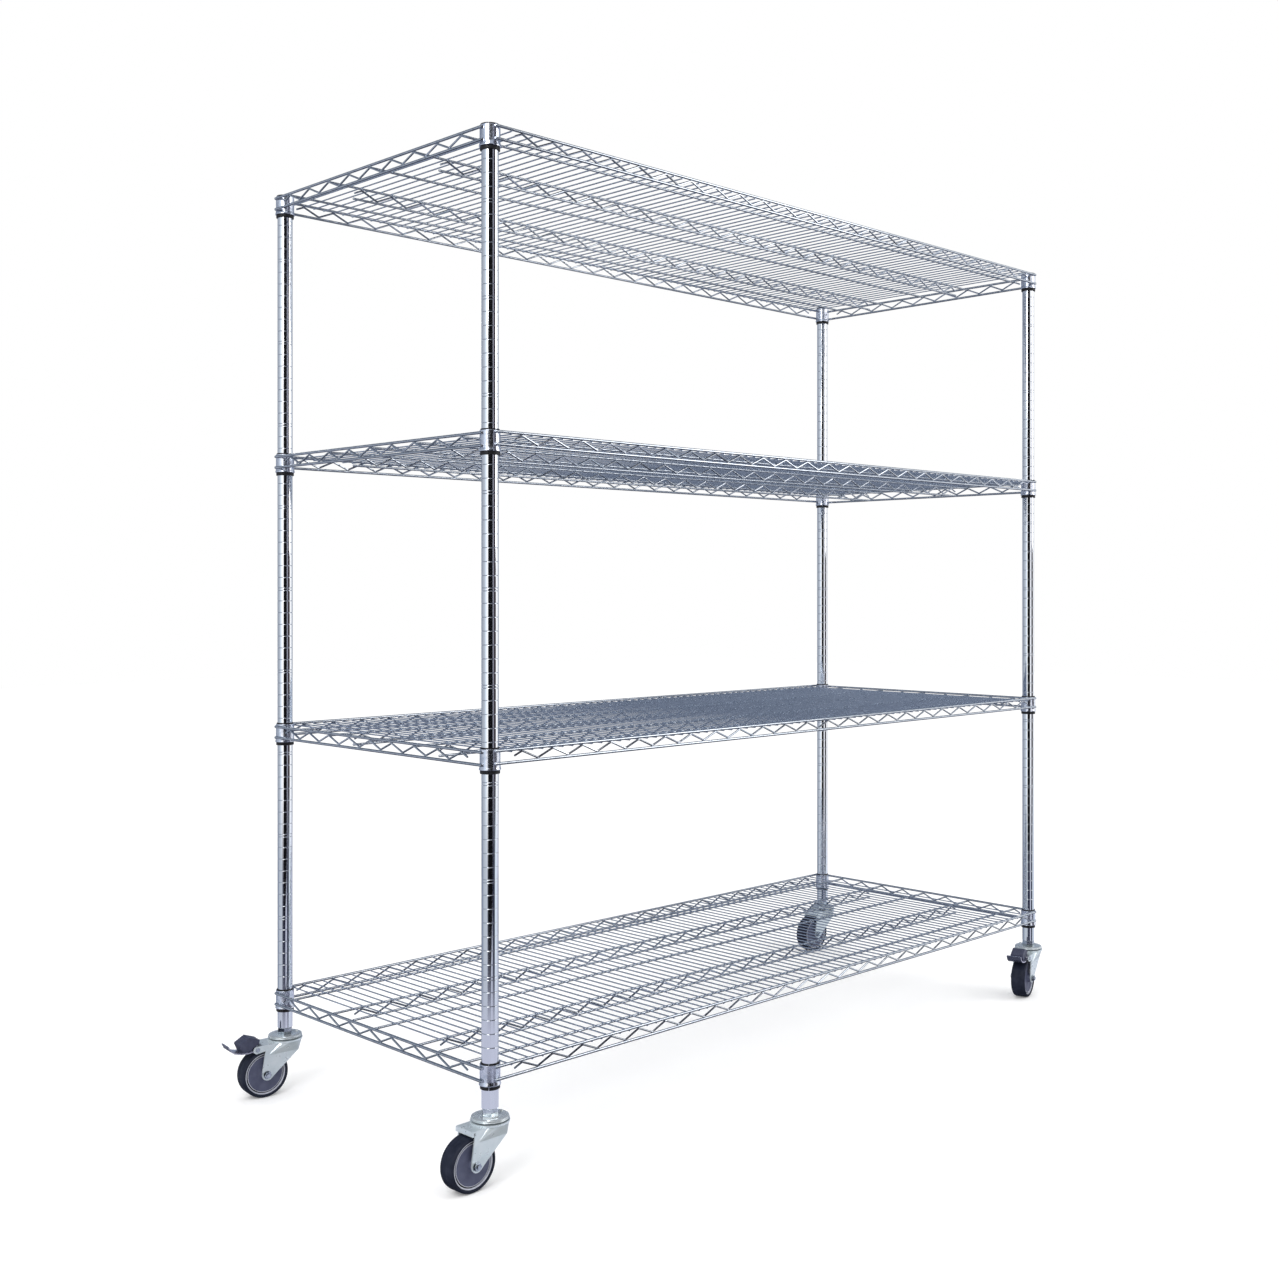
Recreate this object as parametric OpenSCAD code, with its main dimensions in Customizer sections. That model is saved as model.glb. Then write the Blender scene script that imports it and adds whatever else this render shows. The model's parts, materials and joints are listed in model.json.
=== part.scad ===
// Mobile wire shelving rack: four chrome wire shelves on four grooved posts with swivel casters.
// Millimetres, +Z up. The origin is on the floor under the middle of the whole outline,
// +X runs along the length of the shelves and the front is the -Y side.

/* [Shelves] */
// Length of a shelf over its edge wires
shelf_length = 1829; // [900:1:1829]
// Depth of a shelf over its edge wires
shelf_depth = 762; // [450:1:762]
// Height of the lowest shelf's sleeve foot above the floor
first_level = 172; // [165:1:200]
// Rise from shelf 1 to shelf 2
rise_12 = 568; // [218:25:718]
// Rise from shelf 2 to shelf 3
rise_23 = 575; // [200:25:700]
// Rise from shelf 3 to shelf 4
rise_34 = 550; // [200:25:700]

/* [Wires] */
// Diameter of the edge wires
edge_wire_d = 5.6; // [5:0.1:6.5]
// Diameter of the rods that run under the deck
rib_wire_d = 4.8; // [4:0.1:5.5]
// Thickness of the zigzag wires
truss_wire_d = 4; // [3:0.1:4.5]
// Diameter of the deck wires
deck_wire_d = 2.8; // [2:0.1:3.5]
// Distance between the bends of a long zigzag
truss_pitch = 72.5; // [60:0.5:90]
// Distance between the bends of a side zigzag
side_pitch = 75; // [60:0.5:90]
// Distance between an edge's top and bottom wire
truss_rise = 23; // [18:0.5:26]

/* [Posts] */
// Outside diameter of a post
post_d = 31; // [25:0.5:32]
// Wall thickness of a post
post_wall = 1.5; // [1:0.1:2.5]
// Distance between the adjusting grooves
groove_pitch = 25; // [12.5, 25]
// Every so many grooves one is double
double_every = 7; // [4:1:10]

/* [Casters] */
// Wheel diameter
wheel_d = 100; // [96:1:100]
// Tyre width
tyre_w = 37; // [28:1:37]
// Distance from the swivel axis to the wheel axle
trail = 49.5; // [46:0.5:52]
// Heading of the front left caster
yaw_front_left = 1; // [-180:1:180]
// Heading of the front right caster
yaw_front_right = 16; // [-180:1:180]
// Heading of the rear left caster
yaw_rear_left = -7; // [-180:1:180]
// Heading of the rear right caster
yaw_rear_right = 0; // [-180:1:180]

/* [Hidden] */
$fn = 48;

// Collars and split sleeves, heights above the sleeve foot
ring_h = 6.5;
collar_top = 45;
sleeve_top = 47.5;
collar_r_bottom = 20;
collar_r_top = 18.7;
sleeve_r = 17.3;
ring_r = 18.2;
fit_gap = 0.05;
bead_height = 32.5;
sleeve_slit = 1;

// Plan: an edge wire lies against the outside of the collars
edge_offset = 20.6;
edge_overrun = 4;
post_x = shelf_length / 2 - edge_offset - edge_wire_d / 2;
post_y = shelf_depth / 2 - edge_offset - edge_wire_d / 2;
edge_x = post_x + edge_offset;
edge_y = post_y + edge_offset;
// The braked casters stand out at one end, so the posts are not centred in the whole outline
plan_shift = 46;

// Wire heights above the sleeve foot: deck wires lie under the long edge wires and on the rods,
// and each weld sinks a little
weld = 0.7;
end_weld = 1.1;
edge_top = 42;
edge_bottom = edge_top - truss_rise;
deck_z = edge_top - edge_wire_d / 2 - deck_wire_d / 2 + weld;
rod_z = deck_z - deck_wire_d / 2 - rib_wire_d / 2 + weld;
side_top = rod_z + rib_wire_d / 2 + edge_wire_d / 2 - end_weld;
side_bottom = side_top - truss_rise;
rib_bottom = rod_z - truss_rise;

// Rods under the deck at even spacing: the first, third and fifth are plain, the others are ribs
rod_gap = 2 * side_pitch;
rod_rows = [-2, -1, 0, 1, 2];
rib_rows = [-1, 1];
rib_reach = post_x - 36;
deck_pitch = truss_pitch / 3;
long_legs = 2 * floor(2 * (post_x - 50) / truss_pitch);
side_legs = 2 * floor(2 * (post_y - 50) / side_pitch);
deck_count = 3 * long_legs / 2 + 3;

levels = [first_level,
          first_level + rise_12,
          first_level + rise_12 + rise_23,
          first_level + rise_12 + rise_23 + rise_34];

// Posts
post_r = post_d / 2;
post_foot = 137;
post_top = levels[3] + collar_top + 1;
groove_depth = 0.6;
groove_half = 0.9;
double_offset = 2.7;
grid_top = levels[3] + bead_height;
grid_count = floor((grid_top - levels[0] - sleeve_top - 25) / groove_pitch);
double_first = 5;
cap_dome = 3;

// Casters, in a frame on the swivel axis with the wheel trailing towards -X
axle_z = wheel_d / 2;
run_gap = 0.05;
plate_r = 35;
plate_top = 124;
plate_under = 121.4;
plate_rim = 118;
crown_r = 36;
crown_top = 115.4;
web_top = 112.5;
web_under = 109.5;
leg_inner = tyre_w / 2 + 3.5;
leg_outer = leg_inner + 3;
leg_foot_r = 12;
flare_z = 91;
flare_front = 19.5;
flare_back = -45;
kingpin_r = 5;
stem_r = 11;
stem_top = 192;
hex_r = 15.6;
socket_r = post_r - post_wall - fit_gap;
socket_h = 50;
ball_r = 2.8;
ball_ring_r = 22;
ball_count = 16;
axle_r = 4;
bush_r = 6;
washer_t = 1.2;
nut_r = 7.5;
nut_h = 4.7;
hub_r = 43;
hub_face = tyre_w / 2 - 3;
pin_x = -70;
pin_z = 106;
pin_r = 3;
ear_r = 7.5;
pedal_half_w = 19;
pad_half_w = 16;

corner_names = ["front_left", "front_right", "rear_left", "rear_right"];
corner_x = [-post_x, post_x, -post_x, post_x];
corner_y = [-post_y, -post_y, post_y, post_y];
yaws = [yaw_front_left, yaw_front_right, yaw_rear_left, yaw_rear_right];
rivet_turns = [0, 70, 0, 0];
braked = [1, 2];
shelf_parts = ["edge_wires", "truss_wires", "rib_wires", "deck_wires", "collars", "sleeves"];
caster_parts = ["stem", "ball_race", "fork", "axle_set", "hub", "tyre"];
brake_parts = ["pedal", "pad"];

// ---------- helpers ----------

// A round wire along X or Y, centred on the origin
module wire_x(length, d) {
    rotate([0, 90, 0]) cylinder(h = length, d = d, center = true, $fn = 24);
}

module wire_y(length, d) {
    rotate([90, 0, 0]) cylinder(h = length, d = d, center = true, $fn = 24);
}

module at_corners() {
    for (k = [0:3])
        translate([corner_x[k], corner_y[k], 0]) children();
}

module both_sides() {
    children();
    mirror([0, 1, 0]) children();
}

// Points of an arc in a plane
function arc(cx, cz, r, from, to, steps) =
    [for (i = [0:steps]) let (a = from + (to - from) * i / steps) [cx + r * cos(a), cz + r * sin(a)]];

// A bent wire that zigzags along X between two heights. Its outermost bends are upper ones
// and its two ends stop free at half height.
module zigzag(legs, pitch, low, high) {
    leg = pitch / 2;
    thick = truss_wire_d / 2 * sqrt(1 + pow((high - low) / leg, 2));
    mid = (low + high) / 2;
    centre = concat(
        [[-(legs + 1) / 2 * leg, mid]],
        [for (i = [0:legs]) [(i - legs / 2) * leg, i % 2 == 0 ? high : low]],
        [[(legs + 1) / 2 * leg, mid]]);
    upper = [for (p = centre) [p[0], p[1] + thick]];
    lower = [for (i = [len(centre) - 1:-1:0]) [centre[i][0], centre[i][1] - thick]];
    rotate([90, 0, 0])
        linear_extrude(truss_wire_d, center = true) polygon(concat(upper, lower));
}

// The zigzag that fits between two wires of a truss, welded to both
module truss_between(legs, pitch, low_wire, high_wire, low_d, high_d) {
    leg = pitch / 2;
    gap_low = low_wire + low_d / 2 - weld;
    gap_high = high_wire - high_d / 2 + weld;
    thick = truss_wire_d / 2 * sqrt(1 + pow((gap_high - gap_low - truss_wire_d) / leg, 2));
    zigzag(legs, pitch, gap_low + thick, gap_high - thick);
}

// ---------- shelves ----------

module edge_wires() {
    for (s = [-1, 1]) {
        for (z = [edge_top, edge_bottom])
            translate([0, s * edge_y, z]) wire_x(2 * (post_x + edge_overrun), edge_wire_d);
        for (z = [side_top, side_bottom])
            translate([s * edge_x, 0, z]) wire_y(2 * (post_y + edge_overrun), edge_wire_d);
    }
}

module truss_wires() {
    for (s = [-1, 1]) {
        translate([0, s * edge_y, 0])
            truss_between(long_legs, truss_pitch, edge_bottom, edge_top, edge_wire_d, edge_wire_d);
        translate([s * edge_x, 0, 0]) rotate([0, 0, 90])
            truss_between(side_legs, side_pitch, side_bottom, side_top, edge_wire_d, edge_wire_d);
    }
    for (row = rib_rows)
        translate([0, row * rod_gap, 0])
            truss_between(long_legs, truss_pitch, rib_bottom, rod_z, rib_wire_d, rib_wire_d);
}

module rib_wires() {
    rod_reach = edge_x - truss_wire_d / 2 - fit_gap;
    for (row = rod_rows)
        translate([0, row * rod_gap, rod_z]) wire_x(2 * rod_reach, rib_wire_d);
    for (row = rib_rows)
        translate([0, row * rod_gap, rib_bottom]) wire_x(2 * rib_reach, rib_wire_d);
}

// Every third deck wire meets a bend of the edge zigzag and stops just short of it
module deck_wires() {
    for (i = [0:deck_count - 1]) {
        meets_bend = i % 3 == 1;
        reach = meets_bend ? edge_y - truss_wire_d / 2 - fit_gap : edge_y + 1;
        translate([(i - (deck_count - 1) / 2) * deck_pitch, 0, deck_z])
            wire_y(2 * reach, deck_wire_d);
    }
}

module collar() {
    bore = sleeve_r + fit_gap;
    rotate_extrude()
        polygon([[bore, ring_h + fit_gap], [collar_r_bottom, ring_h + fit_gap],
                 [collar_r_bottom, ring_h + 2], [collar_r_bottom - 0.6, ring_h + 4],
                 [collar_r_top + 0.2, ring_h + 6.5], [collar_r_top, ring_h + 9],
                 [collar_r_top, collar_top], [bore, collar_top]]);
}

// A split sleeve: two half shells with a foot ring outside and a locking bead inside
module sleeve() {
    bore = post_r + fit_gap;
    bead = post_r - groove_depth + 2 * fit_gap;
    difference() {
        rotate_extrude()
            polygon([[bore, 0], [ring_r, 0], [ring_r, ring_h], [sleeve_r, ring_h],
                     [sleeve_r, sleeve_top], [bore, sleeve_top], [bore, bead_height + 0.9],
                     [bead, bead_height + 0.5], [bead, bead_height - 0.5],
                     [bore, bead_height - 0.9]]);
        rotate([0, 0, 45])
            cube([3 * ring_r, sleeve_slit, 3 * sleeve_top], center = true);
    }
}

module shelf_part(i, part) {
    translate([0, 0, levels[i - 1]]) {
        if (part == "edge_wires") color("Silver") edge_wires();
        if (part == "truss_wires") color("DarkGray") truss_wires();
        if (part == "rib_wires") color("LightSlateGray") rib_wires();
        if (part == "deck_wires") color("Gainsboro") deck_wires();
        if (part == "collars") color("LightSteelBlue") at_corners() collar();
        if (part == "sleeves") color("Black") at_corners() sleeve();
    }
}

// ---------- posts ----------

// Heights of the groove centres, from the bottom sleeve's own groove upwards
function groove_heights() = concat(
    [levels[0] + bead_height],
    [for (k = [grid_count:-1:0])
        for (d = k % double_every == double_first ? [-1, 1] : [0])
            grid_top - k * groove_pitch + d * double_offset]);

module post(k) {
    wall = [for (z = groove_heights())
        each [[post_r, z - groove_half], [post_r - groove_depth, z - groove_half / 2],
              [post_r - groove_depth, z + groove_half / 2], [post_r, z + groove_half]]];
    color("Silver")
        translate([corner_x[k], corner_y[k], 0])
            rotate_extrude()
                polygon(concat([[post_r, post_foot]], wall,
                               [[post_r, post_top], [post_r - post_wall, post_top],
                                [post_r - post_wall, post_foot]]));
}

// A domed plug that closes the top of each post
module post_caps() {
    plug_r = post_r - post_wall - fit_gap;
    color("DimGray")
        at_corners()
            rotate_extrude()
                polygon(concat([[0, post_top - 12], [plug_r, post_top - 12], [plug_r, post_top]],
                               [for (a = [0:15:90]) [post_r * cos(a), post_top + cap_dome * sin(a)]]));
}

// The sockets in the feet of the posts that grip the caster stems
module post_sockets() {
    color("DimGray")
        at_corners()
            translate([0, 0, post_foot]) difference() {
                cylinder(h = socket_h, r = socket_r);
                translate([0, 0, -1]) cylinder(h = socket_h + 2, r = stem_r + fit_gap);
            }
}

// ---------- casters ----------

module at_caster(k) {
    translate([corner_x[k], corner_y[k], 0]) rotate([0, 0, yaws[k]]) children();
}

module on_axle() {
    translate([-trail, 0, axle_z]) rotate([90, 0, 0]) children();
}

// Top plate with its rolled rim, a rivet, the hexagon, the stem and the kingpin under the plate
module caster_stem(rivet_turn) {
    head_top = web_under - 0.4;
    rotate_extrude()
        polygon([[0, head_top - 4], [7.5, head_top - 4], [8.5, head_top - 3], [8.5, head_top],
                 [kingpin_r, head_top], [kingpin_r, plate_under], [28, plate_under],
                 [31, plate_under - 1.5], [32, plate_rim], [plate_r - 0.7, plate_rim],
                 [plate_r, plate_rim + 0.8], [plate_r - 0.6, plate_rim + 2.5],
                 [31.5, plate_top - 1.5], [28.5, plate_top], [0, plate_top]]);
    translate([0, 0, plate_top]) cylinder(h = post_foot - plate_top, r = hex_r, $fn = 6);
    translate([0, 0, post_foot]) cylinder(h = stem_top - post_foot, r = stem_r);
    rotate([0, 0, rivet_turn])
        translate([plate_r - 11, 0, plate_top - 0.5]) rotate_extrude()
            polygon(concat([[0, 0]], arc(0, 0, 3.5, 0, 90, 6)));
}

module caster_ball_race() {
    for (i = [0:ball_count - 1])
        rotate([0, 0, i * 360 / ball_count])
            translate([ball_ring_r, 0, (plate_under + crown_top) / 2]) sphere(r = ball_r);
}

// One side plate of the fork, seen from the side
function leg_outline() = concat(
    [[-22, web_top], [pin_x + 19, web_top], [-trail - 9.5, axle_z + 12]],
    arc(-trail + 1.5, axle_z, leg_foot_r, 180, 315, 9),
    [[-27, 53], [-13, 64.5], [3, 77.5], [flare_front, flare_z + 0.5], [-6, flare_z + 0.5]]);

// The ear behind the crown that carries the brake pin
function ear_outline() = concat(
    [[-50, web_top], [-50, 101]], arc(pin_x - 1, web_top - ear_r, ear_r, 270, 90, 10));

module side_plate(outline, inner, outer) {
    rotate([90, 0, 0])
        translate([0, 0, inner]) linear_extrude(outer - inner) polygon(outline);
}

module on_brake_pin() {
    translate([pin_x, 0, pin_z]) rotate([90, 0, 0]) children();
}

// The bell between the crown and the legs: a round top that flows into the two flat sides
module fork_bell(top_r, top, front, back, half_w, bottom) {
    hull() {
        translate([0, 0, top - 1]) cylinder(h = 1, r = top_r, $fn = 36);
        translate([back, -half_w, bottom]) cube([front - back, 2 * half_w, 1]);
    }
}

// One pressed shell: crown, bell, a web with a rear lip over the tyre, two legs, and the ears
// of a braked caster
module caster_fork(has_brake) {
    lip_under = axle_z + wheel_d / 2 + 3;
    difference() {
        union() {
            translate([0, 0, web_top - 0.5]) cylinder(h = crown_top - web_top + 0.5, r = crown_r);
            fork_bell(crown_r - 1.4, web_top, flare_front, flare_back, leg_outer, flare_z);
            translate([-58, -leg_outer, web_under])
                cube([58, 2 * leg_outer, web_top - web_under]);
            translate([-58, -leg_outer, lip_under]) cube([3, 2 * leg_outer, web_top - lip_under]);
            both_sides() side_plate(leg_outline(), leg_inner, leg_outer);
            if (has_brake)
                both_sides() side_plate(ear_outline(), leg_inner, leg_outer);
        }
        fork_bell(crown_r - 5, web_under, flare_front - 3, flare_back + 3, leg_inner, flare_z - 1);
        translate([-54, -leg_inner, flare_z - 4])
            cube([54, 2 * leg_inner, web_under - flare_z + 4]);
        translate([-1, -leg_inner + 4, flare_z - 4]) cube([40, 2 * leg_inner - 8, 13]);
        translate([0, 0, 100]) cylinder(h = 20, r = kingpin_r + run_gap);
        on_axle() cylinder(h = 80, r = axle_r + fit_gap, center = true);
        if (has_brake)
            on_brake_pin() cylinder(h = 80, r = pin_r + fit_gap, center = true);
    }
}

// Axle bolt, nut, washers and the bush the wheel runs on; on a braked caster also the brake pin
module caster_axle_set(has_brake) {
    face = leg_outer + fit_gap;
    on_axle() {
        translate([0, 0, -face - washer_t]) cylinder(h = 2 * (face + washer_t) + 7, r = axle_r);
        translate([0, 0, -face - washer_t - nut_h]) cylinder(h = nut_h, r = nut_r, $fn = 6);
        difference() {
            union() {
                translate([0, 0, face]) cylinder(h = washer_t, r = 8.5);
                translate([0, 0, face + washer_t + fit_gap]) cylinder(h = nut_h, r = nut_r, $fn = 6);
                cylinder(h = 2 * (leg_inner - fit_gap), r = bush_r, center = true);
            }
            cylinder(h = 80, r = axle_r + fit_gap, center = true);
        }
    }
    if (has_brake)
        on_brake_pin() {
            cylinder(h = 2 * leg_outer + 3, r = pin_r, center = true);
            for (s = [-1, 1])
                translate([0, 0, s * (leg_outer + 0.9)]) cylinder(h = 1.6, r = 4.5, center = true);
        }
}

// Hub with its bore, flat faces, a groove and a light ring next to the tyre
module caster_hub() {
    half = [[bush_r + run_gap, leg_inner - 0.6], [10, leg_inner - 0.6], [12, hub_face - 1],
            [hub_r - 5.8, hub_face - 1], [hub_r - 5.2, hub_face - 3], [hub_r - 2.2, hub_face - 3],
            [hub_r - 1.8, hub_face + 0.5], [hub_r - 0.4, hub_face + 0.5], [hub_r, hub_face]];
    other = [for (i = [len(half) - 1:-1:0]) [half[i][0], -half[i][1]]];
    on_axle() rotate_extrude() polygon(concat(half, other));
}

module caster_tyre() {
    r = wheel_d / 2;
    w = tyre_w / 2;
    shoulder = 5.5;
    on_axle() rotate_extrude()
        polygon(concat([[hub_r, -hub_face], [hub_r + 1, -w]],
                       arc(r - shoulder, -w + shoulder, shoulder, -90, 0, 6),
                       arc(r - shoulder, w - shoulder, shoulder, 0, 90, 6),
                       [[hub_r + 1, w], [hub_r, hub_face]]));
}

// Brake pedal: a barrel on the pin, a lug over the tyre and a tread plate with a raised tip
module caster_pedal() {
    tread = concat(
        [[pin_x, pin_z], [-78, 103.5], [-88, 102], [-102, 103], [-115, 106.5], [-124, 112.5],
         [-129, 122]],
        [[-131, 121], [-126, 111], [-116.5, 104.2], [-102, 100.5], [-88, 99.5], [-80, 100.5]]);
    lug = [[-76, 106], [-75.5, 99.5], [-74, 97.2], [-71, 96.5], [-67, 99], [-64.5, 104]];
    difference() {
        union() {
            side_plate(tread, -pedal_half_w, pedal_half_w);
            side_plate(lug, -10, 10);
            on_brake_pin() cylinder(h = 2 * pedal_half_w, r = 5.6, center = true);
        }
        on_brake_pin() cylinder(h = 80, r = pin_r + run_gap, center = true);
    }
}

// Plastic cap on the pedal that a foot presses, with grip ribs on its raised face
module caster_pad() {
    low = [-106, 119];
    high = [-84, 132];
    count = 6;
    ribs = [for (i = [0:2 * count - 1]) for (step = [0.25, 0.75])
        low + (high - low) * (i + step) / (2 * count) + (i % 2 == 1 ? [-0.3, 0.55] : [0, 0])];
    outline = concat([[-76.3, 109.3], [-79, 103.9], [-88, 102.1], [-99, 103], low], ribs,
                     [high, [-62, 124], [-64, 115], [-70, 112.4]]);
    side_plate(outline, -pad_half_w, pad_half_w);
}

module caster_part(k, part) {
    has_brake = k == braked[0] || k == braked[1];
    at_caster(k) {
        if (part == "stem") color("LightSteelBlue") caster_stem(rivet_turns[k]);
        if (part == "ball_race") color("SlateGray") caster_ball_race();
        if (part == "fork") color("LightSteelBlue") caster_fork(has_brake);
        if (part == "axle_set") color("Silver") caster_axle_set(has_brake);
        if (part == "hub") color("SlateBlue") caster_hub();
        if (part == "tyre") color("MidnightBlue") caster_tyre();
        if (part == "pedal") color("Lavender") caster_pedal();
        if (part == "pad") color("DarkSlateBlue") caster_pad();
    }
}

// ---------- assembly ----------

translate([plan_shift, 0, 0]) {
    for (k = [0:3])
        post(k);
    post_caps();
    post_sockets();
    for (i = [1:4])
        for (p = shelf_parts)
            shelf_part(i, p);
    for (k = [0:3])
        for (p = caster_parts)
            caster_part(k, p);
    for (k = braked)
        for (p = brake_parts)
            caster_part(k, p);
}
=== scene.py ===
"""Looks of the mobile wire shelving rack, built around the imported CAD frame.

Shapes are worked out in millimetres and turned into metres when a mesh is made. The places of
posts, shelves, wires and casters come from the frame's own boxes and joints.
"""
import bpy
import json
import math
import random
from mathutils import Matrix, Vector


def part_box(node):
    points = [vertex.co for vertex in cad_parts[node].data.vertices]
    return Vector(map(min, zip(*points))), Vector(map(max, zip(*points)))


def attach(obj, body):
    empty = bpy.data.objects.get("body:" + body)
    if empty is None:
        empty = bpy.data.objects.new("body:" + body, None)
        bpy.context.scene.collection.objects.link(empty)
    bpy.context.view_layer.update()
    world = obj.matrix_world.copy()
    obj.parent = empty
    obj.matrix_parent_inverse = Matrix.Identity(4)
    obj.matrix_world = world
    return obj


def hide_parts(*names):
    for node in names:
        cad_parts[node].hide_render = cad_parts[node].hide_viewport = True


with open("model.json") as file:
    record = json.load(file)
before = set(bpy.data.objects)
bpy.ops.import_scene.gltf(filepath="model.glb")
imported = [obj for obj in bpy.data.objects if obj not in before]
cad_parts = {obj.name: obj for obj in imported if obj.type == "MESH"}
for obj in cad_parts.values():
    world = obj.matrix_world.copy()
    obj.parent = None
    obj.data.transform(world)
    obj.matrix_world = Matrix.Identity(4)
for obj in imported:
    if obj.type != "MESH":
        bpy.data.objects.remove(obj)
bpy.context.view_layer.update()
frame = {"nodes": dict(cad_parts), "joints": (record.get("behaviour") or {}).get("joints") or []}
dice = random.Random(7)
MM = 0.001

# ---------- places read from the frame (mm) ----------

CORNERS = ("front_left", "front_right", "rear_left", "rear_right")
BRAKED = ("front_right", "rear_left")
LEVELS = (1, 2, 3, 4)
SIDES = (-1, 1)


def box_mm(node):
    low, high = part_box(node)
    return low / MM, high / MM


def joint(name):
    return next(j for j in frame["joints"] if j["name"] == name)


POSTS = {}
for corner in CORNERS:
    low, high = box_mm("post_" + corner)
    POSTS[corner] = ((low + high) / 2).xy
POST_R = (high.x - low.x) / 2
POST_FOOT = low.z
POST_TOP = high.z
RACK_X = sum(POSTS[c].x for c in CORNERS) / 4
POST_X = POSTS["front_right"].x - RACK_X
POST_Y = POSTS["rear_left"].y
FEET = {i: box_mm(f"shelf_{i}_sleeves")[0].z for i in LEVELS}

low, high = box_mm("shelf_1_edge_wires")
EDGE_R = 2.8
EDGE_X = (high.x - low.x) / 2 - EDGE_R
EDGE_Y = (high.y - low.y) / 2 - EDGE_R
EDGE_OVERRUN = 4
# Heights above a shelf's sleeve foot
EDGE_TOP = high.z - FEET[1] - EDGE_R
TRUSS_RISE = 23
EDGE_BOTTOM = EDGE_TOP - TRUSS_RISE
SIDE_BOTTOM = low.z - FEET[1] + EDGE_R
SIDE_TOP = SIDE_BOTTOM + TRUSS_RISE

low, high = box_mm("shelf_1_deck_wires")
DECK_R = (high.z - low.z) / 2
DECK_Z = (high.z + low.z) / 2 - FEET[1]
DECK_COUNT = 72
DECK_PITCH = (high.x - low.x - 2 * DECK_R) / (DECK_COUNT - 1)
low, high = box_mm("shelf_1_rib_wires")
ROD_R = 2.4
ROD_GAP = (high.y - low.y - 2 * ROD_R) / 4
ROD_Z = high.z - FEET[1] - ROD_R
ROD_REACH = (high.x - low.x) / 2
RIB_BOTTOM = low.z - FEET[1] + ROD_R
RIB_REACH = POST_X - 36
TRUSS_R = 2.0
TRUSS_PITCH = 3 * DECK_PITCH
SIDE_PITCH = ROD_GAP / 2
LONG_LEGS = 46
SIDE_LEGS = 16
RODS = (-2, -1, 0, 1, 2)
# How far welded wires sink into each other, and the play between nested parts
WELD = 0.7
FIT = 0.05
# Outlines that close on their axis stop this far from it
AXIS_R = 0.01
POST_WALL = 1.5

GROOVE_PITCH = 25
GROOVE_DEPTH = 0.5
GROOVE_HALF = 0.75
BEAD_HEIGHT = 32.5
DOUBLE_EVERY = 7
DOUBLE_FIRST = 5
DOUBLE_OFFSET = 2.7
LOWEST_GROOVE = 245

# ---------- camera ----------

CAMERA_FROM_RACK = Vector((-2548.1, -2533.2, 1075.5))
CAMERA_HEADING = 46.07
camera = bpy.data.objects.new("camera", bpy.data.cameras.new("camera"))
bpy.context.collection.objects.link(camera)
camera.data.lens = 42.06
camera.data.sensor_width = 36
camera.data.shift_x = -0.0636
camera.data.shift_y = -0.0408
camera.data.clip_end = 60
camera.location = (Vector((RACK_X, 0, 0)) + CAMERA_FROM_RACK) * MM
camera.rotation_euler = (math.radians(90), 0, math.radians(-CAMERA_HEADING))
bpy.context.scene.camera = camera

# ---------- materials ----------


def new_material(name, metallic, roughness):
    mat = bpy.data.materials.new(name)
    mat.use_nodes = True
    shader = mat.node_tree.nodes["Principled BSDF"]
    shader.inputs["Metallic"].default_value = metallic
    shader.inputs["Roughness"].default_value = roughness
    return mat


def noise(mat, scale, detail, stretch):
    """A noise field in object space, in features per metre, and stretched per axis."""
    tree = mat.node_tree
    place = tree.nodes.new("ShaderNodeTexCoord")
    mapping = tree.nodes.new("ShaderNodeMapping")
    mapping.inputs["Scale"].default_value = stretch
    field = tree.nodes.new("ShaderNodeTexNoise")
    field.inputs["Scale"].default_value = scale
    field.inputs["Detail"].default_value = detail
    tree.links.new(place.outputs["Object"], mapping.inputs["Vector"])
    tree.links.new(mapping.outputs["Vector"], field.inputs["Vector"])
    return field.outputs["Fac"]


def colour_ramp(tree, source, stops):
    """Colours along a field: stops is a list of (position, colour) in rising order."""
    node = tree.nodes.new("ShaderNodeValToRGB")
    elements = node.color_ramp.elements
    elements.remove(elements[-1])
    elements[0].position = stops[0][0]
    elements[0].color = (*stops[0][1], 1)
    for position, colour in stops[1:]:
        elements.new(position).color = (*colour, 1)
    tree.links.new(source, node.inputs["Fac"])
    return node.outputs["Color"]


def map_range(tree, source, low, high, to=(0, 1)):
    """Turns the range low..high of a field into the range to."""
    node = tree.nodes.new("ShaderNodeMapRange")
    node.inputs["From Min"].default_value = low
    node.inputs["From Max"].default_value = high
    node.inputs["To Min"].default_value = to[0]
    node.inputs["To Max"].default_value = to[1]
    tree.links.new(source, node.inputs["Value"])
    return node.outputs["Result"]


def connect(mat, source, socket):
    mat.node_tree.links.new(source, mat.node_tree.nodes["Principled BSDF"].inputs[socket])


def bump(mat, source, strength, distance):
    node = mat.node_tree.nodes.new("ShaderNodeBump")
    node.inputs["Strength"].default_value = strength
    node.inputs["Distance"].default_value = distance * MM
    mat.node_tree.links.new(source, node.inputs["Height"])
    connect(mat, node.outputs["Normal"], "Normal")


# Most of a noise field's values, and how much finer the gloss varies than the colour
NOISE_SPAN = (0.3, 0.7)
GLOSS_SCALE = 2.3


def finish_material(name, metallic, dark, light, roughness, scale, stretch, relief):
    """A finish whose colour, gloss and relief all vary with fine noise.

    roughness is (low, high); relief is (strength, depth in mm, features per metre)."""
    mat = new_material(name, metallic, roughness[0])
    tree = mat.node_tree
    low, high = NOISE_SPAN
    colour = noise(mat, scale, 4, stretch)
    connect(mat, colour_ramp(tree, colour, [(low, dark), (high, light)]), "Base Color")
    gloss = noise(mat, scale * GLOSS_SCALE, 3, stretch)
    connect(mat, map_range(tree, gloss, low, high, roughness), "Roughness")
    strength, depth, fine = relief
    bump(mat, noise(mat, fine, 3, stretch), strength, depth)
    return mat


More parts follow.
